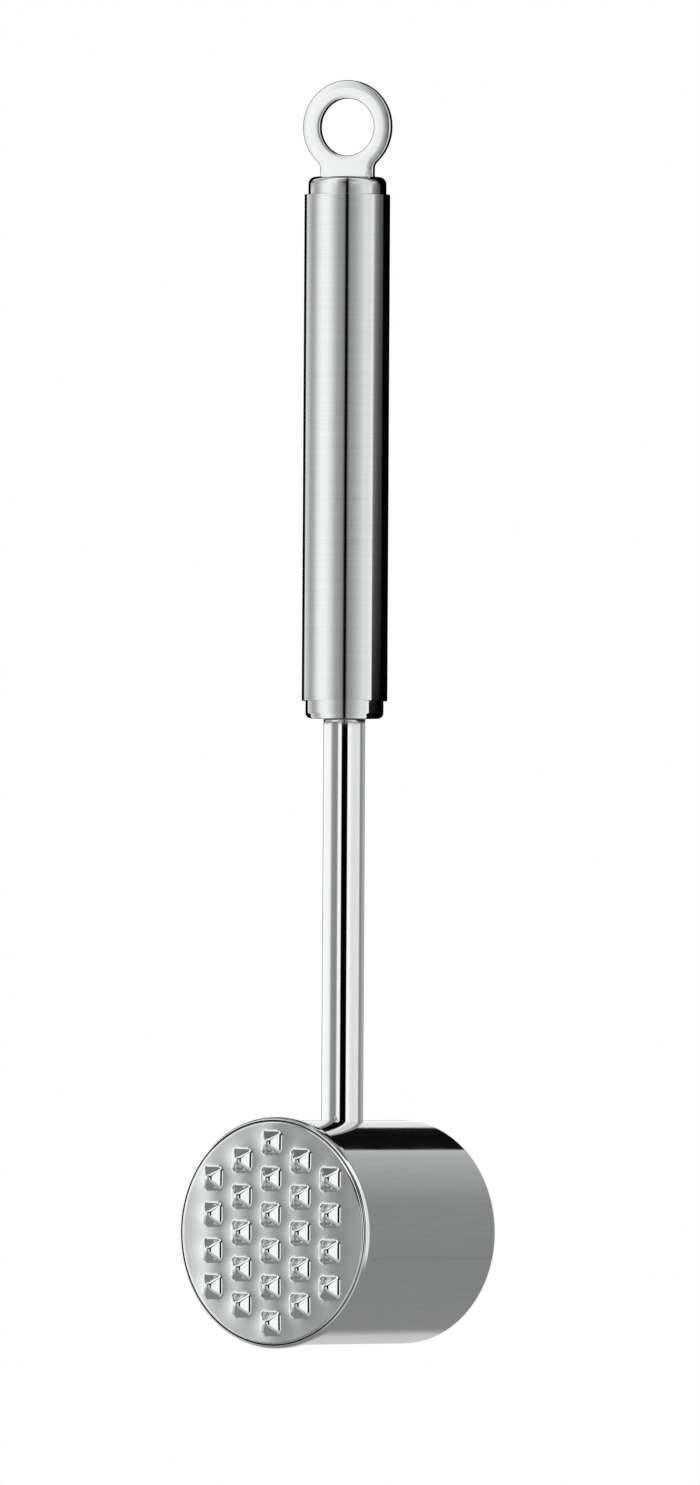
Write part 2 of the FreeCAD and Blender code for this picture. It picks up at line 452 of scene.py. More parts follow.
@dataclass
class HangingEye:
    """The flat eye at the top: a ring run into a neck, with a tang down through the cap."""

    hole_radius: float = 6.0
    neck_width: float = 11.9
    blend: float = 2.0
    edge: float = 0.45
    thickness: float = 2.0
    roll: tuple[float, ...] = (9.5, 7.0, 5.0, 3.2, 1.6)
    roll_step: float = 0.26
    turn: float = 15.0
    neck_sink: float = 1.9
    tang_sink: float = 1.4
    tang_width: float = 7.6
    tang_corner: float = 1.0
    ring_steps: int = 120
    blend_steps: int = 10
    edge_steps: int = 4

    def build(self) -> None:
        """Build the eye from its flat outline and dress it."""
        box = NodeBox.of("hanging_eye")
        cap_top = NodeBox.of("handle_top_cap").high.z
        bm = bmesh.new()
        self._outline(bm, box.high.z, cap_top - self.neck_sink)
        bmesh.ops.create_circle(bm, segments=self.ring_steps, radius=self.hole_radius)
        bmesh.ops.triangle_fill(bm, edges=bm.edges[:], use_beauty=True)
        self._thicken(bm)
        self._tang(bm, cap_top - self.tang_sink, box.low.z)
        stand = Matrix.Rotation(math.radians(self.turn), 3, "Z") @ Matrix.Rotation(math.radians(90), 3, "X")
        bmesh.ops.rotate(bm, verts=bm.verts[:], cent=ORIGIN, matrix=stand)
        finish_piece(bm, "eye_plate", ["hanging_eye"], MIRROR)

    def _tang(self, bm: BMesh, high: float, low: float) -> None:
        """Add the tang that goes down through the cap, with its end's corners broken.

        Args:
            bm: The mesh that it is added to.
            high: The level where it leaves the neck.
            low: The level of its end.
        """
        middle, back = (high + low) / 2, -self.thickness / 2
        size = Matrix.Diagonal((self.tang_width, high - low, 1, 1))
        matrix = Matrix.Translation((0, middle, back)) @ size
        corners = [vert for vert in square(bm, 0.5, matrix) if vert.co.y < middle]
        round_off(bm, corners, self.tang_corner, self.edge_steps, "VERTICES")
        low_faces = [face for face in bm.faces if face.calc_center_median().y < high]
        flat = [face for face in low_faces if all(abs(vert.co.z - back) < NEAR for vert in face.verts)]
        raised = bmesh.ops.extrude_face_region(bm, geom=flat, use_keep_orig=True)
        bmesh.ops.translate(bm, vec=(0, 0, self.thickness), verts=points_of(raised["geom"]))

    def _outline(self, bm: BMesh, radius: float, shoulder: float) -> None:
        """Draw the outer edge in the XY plane: the ring, two blends and the neck.

        Args:
            bm: The mesh that it is drawn in.
            radius: The ring's outer radius.
            shoulder: The level where the neck ends, inside the cap.
        """
        half = self.neck_width / 2
        blend_x = half + self.blend
        blend_y = -math.sqrt((radius + self.blend) ** 2 - blend_x**2)
        lean = math.atan2(-blend_y, -blend_x)
        start = Vector((blend_x, blend_y, 0)) * radius / (radius + self.blend)
        ring_turn = math.tau - 2 * math.atan2(start.x, -start.y)
        first = bm.verts.new(start)
        last = self._arc(bm, first, ORIGIN, ring_turn, self.ring_steps)
        last = self._arc(bm, last, Vector((-blend_x, blend_y, 0)), lean - math.pi, self.blend_steps)
        for x, y in ((-half, shoulder), (half, shoulder), (half, blend_y)):
            last = self._line(bm, last, Vector((x, y, 0)))
        self._arc(bm, last, Vector((blend_x, blend_y, 0)), lean - math.pi, self.blend_steps)
        bmesh.ops.remove_doubles(bm, verts=bm.verts[:], dist=MERGE)

    def _arc(
        self, bm: BMesh, start: BMVert, centre: Vector, angle: float, steps: int
    ) -> BMVert:
        """Carry the outline round an arc.

        Args:
            bm: The mesh.
            start: The outline's last point.
            centre: The centre of the arc.
            angle: The angle of the arc, positive to the left.
            steps: How many edges it has.

        Returns:
            The arc's last point.
        """
        made = bmesh.ops.spin(bm, geom=[start], cent=centre, axis=(0, 0, 1), angle=angle, steps=steps)
        return points_of(made["geom_last"])[0]

    def _line(self, bm: BMesh, start: BMVert, place: Vector) -> BMVert:
        """Carry the outline along a straight line to a place and return its end."""
        end = bm.verts.new(place)
        bm.edges.new((start, end))
        return end

    def _thicken(self, bm: BMesh) -> None:
        """Give the flat outline its thickness and round both faces' edges.

        Args:
            bm: The mesh, flat in the XY plane.
        """
        rolled = sum(self.roll_step * math.tan(math.radians(angle)) for angle in self.roll)
        core = self.thickness - 2 * (self.edge + rolled)
        back = bm.faces[:]
        for face in back:
            face.normal_update()
            if face.normal.z > 0:
                face.normal_flip()
        made = bmesh.ops.extrude_face_region(bm, geom=back, use_keep_orig=True)
        front = [item for item in made["geom"] if isinstance(item, BMFace)]
        bmesh.ops.translate(bm, vec=(0, 0, core), verts=points_of(made["geom"]))
        bmesh.ops.translate(bm, vec=(0, 0, -core / 2), verts=bm.verts[:])
        bmesh.ops.recalc_face_normals(bm, faces=bm.faces[:])
        for side in (front, back):
            self._round_face(bm, [face for face in side if face.is_valid])

    def _round_face(self, bm: BMesh, faces: list[BMFace]) -> None:
        """Raise a face in small insets that follow a quarter circle and then a soft polished roll.

        Args:
            bm: The mesh.
            faces: The faces of one side.
        """
        for step in range(self.edge_steps):
            before = math.pi / 2 * step / self.edge_steps
            after = math.pi / 2 * (step + 1) / self.edge_steps
            inset = self.edge * (math.cos(before) - math.cos(after))
            rise = self.edge * (math.sin(after) - math.sin(before))
            self._inset(bm, faces, inset, rise)
        for angle in self.roll:
            self._inset(bm, faces, self.roll_step, self.roll_step * math.tan(math.radians(angle)))

    def _inset(self, bm: BMesh, faces: list[BMFace], inward: float, rise: float) -> None:
        """Inset a region by a step inward and a step outward."""
        bmesh.ops.inset_region(
            bm, faces=faces, thickness=inward, depth=rise, use_even_offset=True, use_boundary=True
        )


@dataclass
class Handle:
    """The grip tube and the two drawn cups pressed into its ends."""

    steps: int = 144
    tube_wall: float = 0.8
    tube_edge: float = 0.15
    cap_wall: float = 1.0
    top_corner: float = 1.5
    bottom_corner: float = 1.2

    def build(self) -> None:
        """Build and dress the tube and both caps."""
        self._tube()
        self._cap("top_cap", "handle_top_cap", self.top_corner, 0.0)
        self._cap("bottom_cap", "handle_bottom_cap", self.bottom_corner, NodeBox.of("shaft").size.x / 2)

    def _tube(self) -> None:
        """Turn the grip tube."""
        box = NodeBox.of("handle_tube")
        outer = box.size.x / 2
        bore = outer - self.tube_wall
        low, high = box.low.z, box.high.z
        outline = [(bore, low), (outer, low), (outer, high), (bore, high)]
        rounds = [((outer, low), self.tube_edge), ((outer, high), self.tube_edge)]
        bm = Lathe(ORIGIN, Axis.UP, self.steps).turn(outline, rounds)
        finish_piece(bm, "grip_tube", ["handle_tube"], SATIN)

    def _cap(self, name: str, node: str, corner: float, hole: float) -> None:
        """Turn a drawn cup whose closed end faces away from the tube.

        Args:
            name: The piece's name.
            node: The CAD node that it stands for.
            corner: The radius of its outer corner.
            hole: The radius of the hole in its closed end, or zero.
        """
        box = NodeBox.of(node)
        upward = hole == 0
        closed, rim = (box.high.z, box.low.z) if upward else (box.low.z, box.high.z)
        inner = closed - self.cap_wall if upward else closed + self.cap_wall
        outer = box.size.x / 2
        bore = outer - self.cap_wall
        outline = [(hole, inner), (bore, inner), (bore, rim), (outer, rim), (outer, closed), (hole, closed)]
        bm = Lathe(ORIGIN, Axis.UP, self.steps).turn(outline, [((outer, closed), corner)])
        finish_piece(bm, name, [node], SATIN)


@dataclass
class Shaft:
    """The bright rod between handle and head, with the small ground weld at its upper end."""

    steps: int = 96
    stud_radius: float = 3.0
    rod_edge: float = 0.3
    stud_edge: float = 0.4
    weld_reach: float = 0.3
    weld_lap: float = 0.2
    weld_lift: float = 0.1
    weld_sag: float = 0.3

    def build(self) -> None:
        """Build and dress the rod and the weld ring."""
        lathe = Lathe(ORIGIN, Axis.UP, self.steps)
        rod = NodeBox.of("shaft")
        radius, foot, top = rod.size.x / 2, rod.low.z, rod.high.z
        shoulder = NodeBox.of("shaft_centring_bush").low.z
        stud, edge = self.stud_radius, self.rod_edge
        outline = [(0, foot), (radius, foot), (radius, shoulder), (stud, shoulder), (stud, top), (0, top)]
        rounds = [((radius, foot), edge), ((radius, shoulder), edge), ((stud, top), self.stud_edge)]
        finish_piece(lathe.turn(outline, rounds), "shaft_rod", ["shaft"], MIRROR)
        weld = NodeBox.of("shaft_weld_bead")
        high, root, reach = weld.high.z, radius - self.weld_lap, radius + self.weld_reach
        sag = self.weld_reach * self.weld_sag
        ring = [
            (root, high + self.weld_lift), (reach, high + self.weld_lift), (reach, high),
            (radius + sag, high - sag), (radius, high - self.weld_reach), (root, weld.low.z),
        ]
        finish_piece(lathe.turn(ring), "weld_ring", ["shaft_weld_bead"], WELD)


@dataclass(frozen=True)
class Stud:
    """One four-sided stud with a fillet round its foot and soft ridges.

    Attributes:
        base: The side of the square where the slopes would meet the plate.
        height: The rise of the tip.
        tip: The side of the flat tip.
        foot_round: The radius of the fillet round the foot.
        tip_round: The radius round the tip.
        ridge: The radius of the four ridges.
        foot_lap: How far the foot runs on over the plate, and how far it dips into it.
        tip_share: How much of the tip's half width its corners may take up.
        steps: How many rings make up each of the two roundings.
        corner_steps: How many edges make up each ridge.
    """

    base: float = 4.9
    height: float = 2.0
    tip: float = 1.2
    foot_round: float = 1.2
    tip_round: float = 1.25
    ridge: float = 0.55
    foot_lap: tuple[float, float] = (0.05, 0.03)
    tip_share: float = 0.9
    steps: int = 6
    corner_steps: int = 4

    def sections(self) -> Iterator[tuple[float, float, float]]:
        """Yield (half width, corner radius, rise) from the foot to the tip."""
        slope = math.atan2(self.height, (self.base - self.tip) / 2)
        reach = math.tan(slope / 2)
        along, dip = self.foot_lap
        yield self.base / 2 + self.foot_round * reach + along, self.ridge + self.foot_round, -dip
        for step in range(self.steps + 1):
            angle = slope * step / self.steps
            half = self.base / 2 + self.foot_round * (reach - math.sin(angle))
            corner = self.ridge + self.foot_round * (1 - step / self.steps)
            yield half, corner, self.foot_round * (1 - math.cos(angle))
        for step in range(self.steps + 1):
            angle = slope * (1 - step / self.steps)
            half = self.tip / 2 + self.tip_round * (math.sin(angle) - reach)
            corner = min(self.ridge, half * self.tip_share)
            yield half, corner, self.height - self.tip_round * (1 - math.cos(angle))

    def build(self, bm: BMesh) -> None:
        """Loft the stud up the Z axis from its sections.

        Args:
            bm: The mesh that it is added to.
        """
        below = None
        sections = list(self.sections())
        for index, (half, corner, rise) in enumerate(sections):
            corners = square(bm, half, Matrix.Translation((0, 0, rise)))
            rounded = round_off(bm, corners, corner, self.corner_steps, "VERTICES")
            face = max(rounded[0].link_faces, key=lambda item: len(item.verts))
            loop = list(face.edges)
            if 0 < index < len(sections) - 1:
                bmesh.ops.delete(bm, geom=[face], context="FACES_ONLY")
            if below:
                bmesh.ops.bridge_loops(bm, edges=below + loop)
            below = loop


@dataclass
class Head:
    """The drum: shell, studded plate with its rim ring, and the smooth plate behind."""

    steps: int = 256
    wall: float = 1.5
    back_edge: float = 1.2
    small_edge: float = 0.15
    ring_heel: float = 0.2
    ring_lip: float = 1.0
    bead_depth: float = 1.15
    bead_rise: float = 0.62
    bead_steps: int = 10
    plate_edge: float = 0.55
    plate_margin: float = 0.65
    sink: float = 0.3
    crown: float = 0.3
    joint_reach: float = 0.1
    # The near-black ring laid in the groove between plate and rim ring paints the groove's shade
    groove_shade_depth: float = 0.3
    groove_shade_lap: tuple[float, float] = (0.05, 0.02)
    groove_shade_thickness: float = 0.5
    plate_gap: float = 0.08
    plate_rings: int = 56
    swell_reach: float = 3.4
    columns: tuple[int, ...] = (4, 5, 6, 5, 4)
    outermost_pitches: float = 2.5
    corner_share: float = 0.7
    stud: Stud = Stud()

    def __post_init__(self) -> None:
        """Find the drum's axis and radius from the frame."""
        self.shell = NodeBox.of("head_sleeve")
        self.axis_point = Vector((0, 0, self.shell.middle.z))
        self.radius = self.shell.size.x / 2
        self.lathe = Lathe(self.axis_point, Axis.OUT, self.steps)

    def build(self) -> None:
        """Build and dress the shell, the ring and both plates."""
        self._shell()
        self._rim_ring()
        self._smooth_plate()
        self._studded_plate()

    def _shell(self) -> None:
        """Turn the drum's shell."""
        front, back = self.shell.low.y, self.shell.high.y
        bore = self.radius - self.wall
        outline = [(bore, front), (self.radius, front), (self.radius, back), (bore, back)]
        rounds = [((self.radius, back), self.back_edge), ((bore, back), self.small_edge)]
        bm = self.lathe.turn(outline, rounds)
        finish_piece(bm, "drum_shell", ["head_sleeve"], DRUM_POLISH)

    def _rim_ring(self) -> None:
        """Turn the beaded ring over the joint of plate and shell, and the near-black ring in the groove
        beside it that paints the groove's shade.
        """
        box = NodeBox.of("head_rim_ring")
        outer, front, back = box.size.x / 2, box.low.y, box.high.y
        inner = self.radius + self.joint_reach
        crown, lip = front + self.bead_depth, front + self.ring_lip
        outline = [(self.radius, back), (self.radius, lip), (inner, lip)]
        for step in range(self.bead_steps + 1):
            angle = math.pi / 2 * step / self.bead_steps
            radius = outer - self.bead_rise * (1 - math.sin(angle))
            outline.append((radius, crown - self.bead_depth * math.cos(angle)))
        outline += [(outer, back - self.ring_heel), (outer - self.ring_heel, back)]
        finish_piece(self.lathe.turn(outline), "rim_ring", ["head_rim_ring"], MIRROR)
        # A near-black ring sunk in the groove between plate and rim ring, as painted shade
        sunk = front + self.groove_shade_depth
        deep = sunk + self.groove_shade_thickness
        root = self.radius - self.plate_gap - self.groove_shade_lap[0]
        lap = inner + self.groove_shade_lap[1]
        joint = [(root, sunk), (lap, sunk), (lap, deep), (root, deep)]
        finish_piece(self.lathe.turn(joint), "rim_groove_shade", [], GROOVE_SHADE_FINISH)

    def _smooth_plate(self) -> None:
        """Turn the flat plate in the back of the drum."""
        box = NodeBox.of("smooth_plate")
        outer = box.size.x / 2
        outline = [(0, box.low.y), (outer, box.low.y), (outer, box.high.y), (0, box.high.y)]
        bm = self.lathe.turn(outline, [((outer, box.high.y), self.small_edge)])
        finish_piece(bm, "flat_face_plate", ["smooth_plate"], DRUM_POLISH)

    def _studded_plate(self) -> None:
        """Turn the front plate, set the studs on it and let its sheet swell round them."""
        back = NodeBox.of("studded_plate").high.y
        front = NodeBox.of("studded_plate").low.y + self.stud.height
        seat = self.shell.low.y
        bore = self.radius - self.wall
        rim = self.radius - self.plate_gap
        flat = rim - self.plate_edge
        rings = self.plate_rings
        face = [(flat * (rings - index) / rings, front) for index in range(rings + 1)]
        outline = [(0, back), (bore, back), (bore, seat), (rim, seat), (rim, front), *face]
        bm = self.lathe.turn(outline, [((rim, front), self.plate_edge)])
        self._set_studs(bm, front)
        for vert in bm.verts:
            if vert.co.y < front + self.plate_edge + NEAR:
                vert.co.y += self._sink_at(vert.co.x, vert.co.z)
                away = math.hypot(vert.co.x, vert.co.z - self.axis_point.z) / self.radius
                vert.co.y += self.crown * away**2
        finish_piece(bm, "stud_plate", ["studded_plate"], PRESSED)

    def _places(self) -> Iterator[tuple[float, float]]:
        """Yield each stud's (x, z) from the middle of the plate."""
        flat = self.radius - self.plate_edge - self.plate_margin
        pitch = (flat - self.corner_share * self.stud.base) / self.outermost_pitches
        middle = (len(self.columns) - 1) / 2
        for column, count in enumerate(self.columns):
            for row in range(count):
                yield (column - middle) * pitch, (row - (count - 1) / 2) * pitch

    def _set_studs(self, bm: BMesh, front: float) -> None:
        """Loft one stud, stand it on the plate and copy it to every place.

        Args:
            bm: The plate's mesh.
            front: The level of the plate's face.
        """
        pattern = bmesh.new()
        self.stud.build(pattern)
        bmesh.ops.recalc_face_normals(pattern, faces=pattern.faces[:])
        lying = Matrix.Rotation(math.radians(90), 3, "X")
        bmesh.ops.rotate(pattern, verts=pattern.verts[:], cent=ORIGIN, matrix=lying)
        mould = bpy.data.meshes.new("stud_mould")
        pattern.to_mesh(mould)
        pattern.free()
        for x, z in self._places():
            known = set(bm.verts)
            bm.from_mesh(mould)
            added = [vert for vert in bm.verts if vert not in known]
            bmesh.ops.translate(bm, vec=(x, front, self.axis_point.z + z), verts=added)
        bpy.data.meshes.remove(mould)

    def _sink_at(self, x: float, z: float) -> float:
        """Return how far the pressed sheet lies back at a place, being swelled forward at the studs."""
        swell = 0.0
        for stud_x, stud_z in self._places():
            away = math.hypot(x - stud_x, z - self.axis_point.z - stud_z)
            swell += math.exp(-((away / self.swell_reach) ** 2))
        return self.sink * max(0.0, 1 - swell)


def dress_hidden_nodes() -> None:
    """Give the pieces sealed inside the handle and the head their turned finish."""
    handle = ("eye_cross_pin", "shaft_centring_bush", "shaft_washer", "shaft_lock_nut")
    for name in (*handle, "head_core", "shaft_lock_pin"):
        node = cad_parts[name]
        node.data.materials.clear()
        node.data.materials.append(TURNED.material())
        LOG.info("%s: dressed as plain turned steel", name)

# ---------------------------------------------------------------- studio


def light_for(shade: float) -> Colour:
    """Return the light that steel shows as a shade between black, 0, and white, 1."""
    light = shade**DISPLAY_GAMMA / STEEL[1]
    return (light, light, light, 1)


def shade_ramp(tree: Tree, angle: Socket, shades: Glow) -> Socket:
    """Return the light at an angle, from shades as (degrees from the camera, shade)."""
    return add_ramp(tree, angle, [(degrees / 360 + 0.5, light_for(shade)) for degrees, shade in shades])


def angle_round(tree: Tree, place: Socket, centre: float) -> Socket:
    """Return the angle of a direction round the mallet, with 0.5 at so many degrees from the camera."""
    return add_angle(tree, place, 90 - CAMERA_TURN - centre)


@dataclass(frozen=True)
class Card:
    """A card or soft panel of the studio, far off in the directions that it covers.

    Attributes:
        turn: The angles of its sides in degrees from the camera, positive to its right.
        rise: The angles of its lower and upper edge over the horizon.
        shade: The shade that it shows in steel.
        soft: The width of its soft sides and of its soft upper and lower edge.
    """

    turn: tuple[float, float]
    rise: tuple[float, float]
    shade: float
    soft: tuple[float, float] = (1.0, 1.0)

    def cover(self, tree: Tree, place: Socket, rise: Socket, under: Socket) -> Socket:
        """Lay the card over what is already there.

        Args:
            tree: The world's nodes.
            place: The direction that is looked in.
            rise: The angle over the horizon in degrees.
            under: The light that the card covers.

        Returns:
            The light with the card in it.
        """
        centre, level = sum(self.turn) / 2, sum(self.rise) / 2
        angle = angle_round(tree, place, centre)
        sides = self._within(tree, angle, 0.5, (self.turn[1] - centre) / 360, self.soft[0] / 360)
        edges = self._within(tree, rise, level, self.rise[1] - level, self.soft[1])
        return add_mix(tree, add_math(tree, "MULTIPLY", sides, edges), under, light_for(self.shade))

    def _within(self, tree: Tree, value: Socket, centre: float, half: float, soft: float) -> Socket:
        """Return 1 where a value is within half of its centre, falling to 0 over a soft edge."""
        away = add_math(tree, "ABSOLUTE", add_math(tree, "SUBTRACT", value, centre))
        limits = {"Value": away, "From Min": half + soft, "From Max": half - soft}
        return add_node(tree, "MapRange", limits, interpolation_type="SMOOTHSTEP").outputs["Result"]


HORIZON: Glow = (
    (-180, 0.97), (-126, 0.98), (-82, 0.95), (-76, 0.8), (-69, 0.6), (-62, 0.54), (-43, 0.52),
    (-37, 0.56), (-31, 0.92), (-24, 0.99), (-16, 0.92), (-13, 0.08), (-8, 0.03), (14, 0.03), (18, 0.12),
    (20.5, 0.97), (31, 0.98), (40, 0.9), (60, 0.86), (94, 0.89), (99, 0.6), (106, 0.51), (112, 0.52),
    (120, 0.58), (134, 0.64), (142, 0.66), (150, 0.76), (165, 0.86), (180, 0.97),
)
FAR_CARDS = (
    Card(turn=(-60, 95), rise=(34, 100), shade=0.97, soft=(6, 8)),
    Card(turn=(160, 200), rise=(10, 24), shade=0.86, soft=(8, 6)),
    Card(turn=(180.0, 262), rise=(22.3, 130), shade=0.48, soft=(3, 0.7)),
    Card(turn=(148.0, 183), rise=(22.3, 130), shade=0.08, soft=(0.7, 0.7)),
    Card(turn=(152, 208), rise=(-5, 5), shade=0.45, soft=(8, 2)),
    Card(turn=(-180, 180), rise=(-100, -22), shade=0.50, soft=(1, 9)),
    Card(turn=(100, 163), rise=(-90, -4), shade=0.51, soft=(3, 4)),
    Card(turn=(-170, -70), rise=(-90, -36), shade=0.50, soft=(12, 8)),
    Card(turn=(-190, -100), rise=(-42, -8), shade=0.75, soft=(8, 6)),
    Card(turn=(150, 184), rise=(-24, -4), shade=0.74, soft=(3, 3)),
    Card(turn=(-42, 18), rise=(11, 31), shade=0.06, soft=(5, 3)),
    Card(turn=(-42, 30), rise=(-70, -11), shade=0.72, soft=(5, 3)),
)
# The two ends of the grip show much the same, but for the dark side far round to the right
GRIP_SIDE: Glow = ((-180, 0.03), (-143, 0.03), (-137, 0.86), (-122, 0.74))
GRIP_FRONT: Glow = (
    (-96, 0.68), (-80, 0.9), (-68, 0.955), (-52, 0.94), (-40, 0.83), (-26, 0.63), (-10, 0.53), (-5.5, 0.42),
    (-4, 0.03), (2.5, 0.02), (4.5, 0.42), (9, 0.55), (20, 0.61), (38, 0.76), (50, 0.86),
)
GRIP_LOW: Glow = (
    *GRIP_SIDE, (-108, 0.62), *GRIP_FRONT, (64, 0.87), (76, 0.95), (78, 0.05), (100, 0.1), (105, 0.03),
    (180, 0.03),
)
GRIP_HIGH: Glow = (
    *GRIP_SIDE, (-108, 0.61), *GRIP_FRONT, (64, 0.85), (74, 0.89), (84, 0.55), (98, 0.38), (112, 0.3),
    (115, 0.03), (180, 0.03),
)
EYE_LIGHT: Glow = (
    (-180, 0.03), (-141, 0.03), (-134, 0.5), (-100, 0.7), (-75, 0.9), (-58, 0.975), (-48, 0.95), (-36, 0.92),
    (-26, 0.66), (-12, 0.35), (-3, 0.1), (2, 0.1), (6, 0.6), (20, 0.82), (84, 0.82), (97, 0.55), (103, 0.3),
    (108, 0.03), (180, 0.03),
)


@dataclass(frozen=True)
class LightTent:
    """A round tent of soft light and grey cloth about the grip and the eye, seen only in steel.

    Attributes:
        radius: Its radius in millimetres.
        inner: The radius of the hole in its ground.
        pale_reach: How far the ground's underside is pale, for the top of the rod.
        foot: How far it reaches below the grip.
        bar: The radius of the grip, which its shades are given for.
        wall_top: The level where its wall ends and its roof begins.
        roof_top: The level of the roof's middle.
        cover_gap: How far its cover hangs outside the lining.
        ground_gap: How far the underside of its ground hangs below.
        cover_shade: The shade that its plain cloth shows in steel.
        eye_top: The level over which it is there for the top cap's corner.
        change: The height over which its glow changes at the cap and at the eye's top.
        steps: How many flats make its round.
    """

    radius: float = 70.0
    inner: float = 6.0
    pale_reach: float = 40.0
    foot: float = 0.15
    bar: float = 9.0
    wall_top: float = 45.0
    roof_top: float = 80.0
    cover_gap: float = 1.0
    ground_gap: float = 0.05
    cover_shade: float = 0.42
    eye_top: float = 13.0
    change: float = 3.0
    steps: int = 180

    def build(self) -> None:
        """Hang the tent's lining, its grey cover outside and the cloth under the grip."""
        low = NodeBox.of("handle_bottom_cap").low.z - self.foot
        sunk = low - self.ground_gap
        outer = self.radius + self.cover_gap
        for name, plain, *profile in (
            ("tent_lining", False, (self.radius, low), (self.radius, self.wall_top), (0, self.roof_top)),
            ("tent_cover", True, (outer, low), (outer, self.wall_top), (0, self.roof_top + self.cover_gap)),
            # The ground is what the grip's lower corner mirrors
            ("tent_ground", False, (self.inner, low), (self.radius, low)),
            ("tent_pale_skirt", False, (self.inner, sunk), (self.pale_reach, sunk)),
            ("tent_under", True, (self.pale_reach, sunk), (outer, sunk)),
        ):
            self._hang(name, profile, self._material(name, low, plain))

    def _hang(self, name: str, profile: Sequence[Ring], material: bpy.types.Material) -> None:
        """Turn a cloth of the tent about the mallet's axis and hide it from all but reflections.

        Args:
            name: The cloth's name.
            profile: Its profile as (radius, level) in millimetres.
            material: Its glow.
        """
        bm = bmesh.new()
        draw_line(bm, [(radius / METRE, 0, level / METRE) for radius, level in profile])
        turn_round(bm, ORIGIN, Vector(Axis.UP.value), self.steps)
        cloth = placed(name, mesh_from(bm, name, material))
        for kind in ("camera", "diffuse", "shadow", "transmission", "volume_scatter"):
            setattr(cloth, f"visible_{kind}", False)
        LOG.info("%s: hung round the grip and the eye", name)

    def _material(self, name: str, low: float, plain: bool) -> bpy.types.Material:
        """Return a cloth's glow, which changes from the foot of the grip to the eye.

        Args:
            name: The material's name.
            low: The level of the tent's foot in millimetres.
            plain: Whether it is plain grey cloth.

        Returns:
            The material.
        """
        material = bpy.data.materials.new(name)
        material.use_nodes = True
        material.cycles.emission_sampling = "NONE"
        tree = material.node_tree
        tree.nodes.clear()
        light = light_for(self.cover_shade) if plain else self._glow(tree, low)
        shine = add_node(tree, "Emission", {"Color": light}).outputs["Emission"]
        add_node(tree, "OutputMaterial", {"Surface": shine})
        return material

    def _glow(self, tree: Tree, low: float) -> Socket:
        """Return the light of the lining, blended by its height from one set of shades to the next."""
        cap_top = NodeBox.of("handle_top_cap").high.z
        place = add_node(tree, "TexCoord", {}).outputs["Object"]
        height = add_node(tree, "SeparateXYZ", {"Vector": place}).outputs["Z"]
        angle = self._quickened(tree, angle_round(tree, place, 0.0), place)
        light = self._shades(tree, angle, GRIP_LOW)
        for shades, start, end in (
            (GRIP_HIGH, low, cap_top),
            (EYE_LIGHT, cap_top, cap_top + self.change),
            (GRIP_HIGH, self.eye_top, self.eye_top + self.change),
        ):
            limits = {"Value": height, "From Min": start / METRE, "From Max": end / METRE}
            share = add_node(tree, "MapRange", limits).outputs["Result"]
            light = add_mix(tree, share, light, self._shades(tree, angle, shades))
        return light

    def _tent_angle(self, shown: float) -> float:
        """Return where on the tent the grip mirrors what it shows in a direction, in degrees."""
        offset = self.bar * math.sin(math.radians(shown / 2))
        return shown - math.degrees(math.asin(offset / self.radius))

    def _quickened(self, tree: Tree, angle: Socket, place: Socket) -> Socket:
        """Make an angle grow faster near the axis.

        The grip's rounded corners mirror the cloth that is right over and under them.

        Args:
            tree: The material's nodes.
            angle: The angle round the axis.
            place: The place on the cloth.

        Returns:
            The angle that the grip shows there.
        """
        level = add_node(tree, "VectorMath", {0: place, 1: (1, 1, 0)}, operation="MULTIPLY").outputs["Vector"]
        reach = add_node(tree, "VectorMath", {0: level}, operation="LENGTH").outputs["Value"]
        # A mirrored point at reach r turns 2r / (2r - bar) times slower than what the grip shows
        outer = add_math(tree, "MAXIMUM", reach, self.bar / METRE)
        beyond = add_math(tree, "MULTIPLY_ADD", outer, 2.0, -self.bar / METRE)
        gain = add_math(tree, "DIVIDE", outer, beyond)
        scaled = add_math(tree, "MULTIPLY", gain, 2 - self.bar / self.radius)
        off = add_math(tree, "SUBTRACT", angle, 0.5)
        return add_math(tree, "MULTIPLY_ADD", off, scaled, 0.5)

    def _shades(self, tree: Tree, angle: Socket, shades: Glow) -> Socket:
        """Return the light at an angle, from the shades that the round grip is to show."""
        return shade_ramp(tree, angle, tuple((self._tent_angle(shown), shade) for shown, shade in shades))


